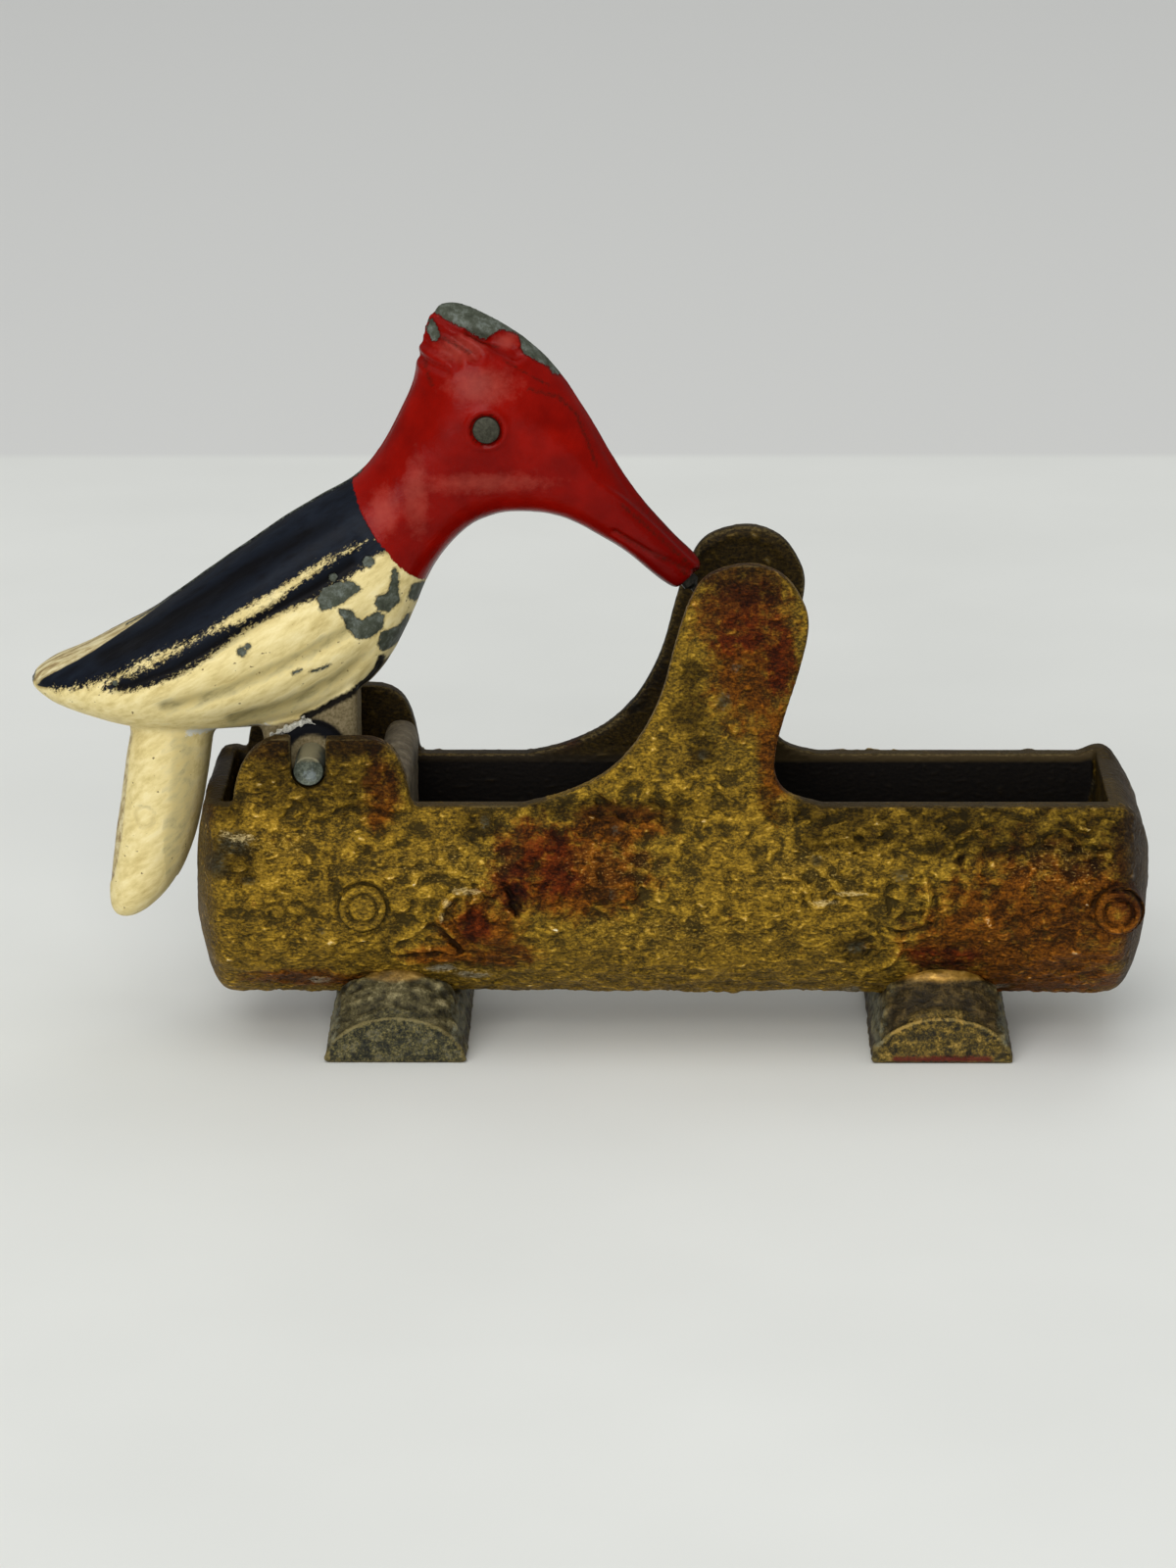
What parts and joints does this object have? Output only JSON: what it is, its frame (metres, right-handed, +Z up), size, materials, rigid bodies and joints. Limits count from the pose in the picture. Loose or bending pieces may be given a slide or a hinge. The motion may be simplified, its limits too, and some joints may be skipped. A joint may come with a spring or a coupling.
{
  "type": "toothpick dispenser",
  "caption": "Cast metal toothpick dispenser: a painted bird tips on a pin over a hollow log trough, and its beak needle picks up a toothpick.",
  "frame": {"origin": "on the surface that the feet stand on, under the middle of the whole object", "axes": "+Z up; +X along the log, toward the trough end that the beak dips into; -Y is the side with the round bark knots"},
  "size_m": [0.1205, 0.0297, 0.0802],
  "materials": {
    "log_paint": "worn bronze paint over a rough bark texture",
    "partition_metal": "dusty and dull",
    "foot_paint": "worn dark bronze paint",
    "bird_paint": "gloss paint with chips to the bare metal",
    "pin_steel": "dull",
    "needle_steel": "dark",
    "eye_metal": "dull grey"
  },
  "bodies": {
    "log": {"log_casting": "log_paint", "cross_partition": "partition_metal", "foot_left": "foot_paint", "foot_right": "foot_paint"},
    "bird": {"bird_casting": "bird_paint", "pivot_pin": "pin_steel", "beak_needle": "needle_steel", "eye_near": "eye_metal", "eye_far": "eye_metal"}
  },
  "joints": [
    {"name": "bird_pivot", "type": "hinge", "parent": "log", "child": "bird", "pos_m": [-0.0297, 0, 0.0317], "axis": [0, 1, 0], "range_deg": [0, 47]}
  ]
}
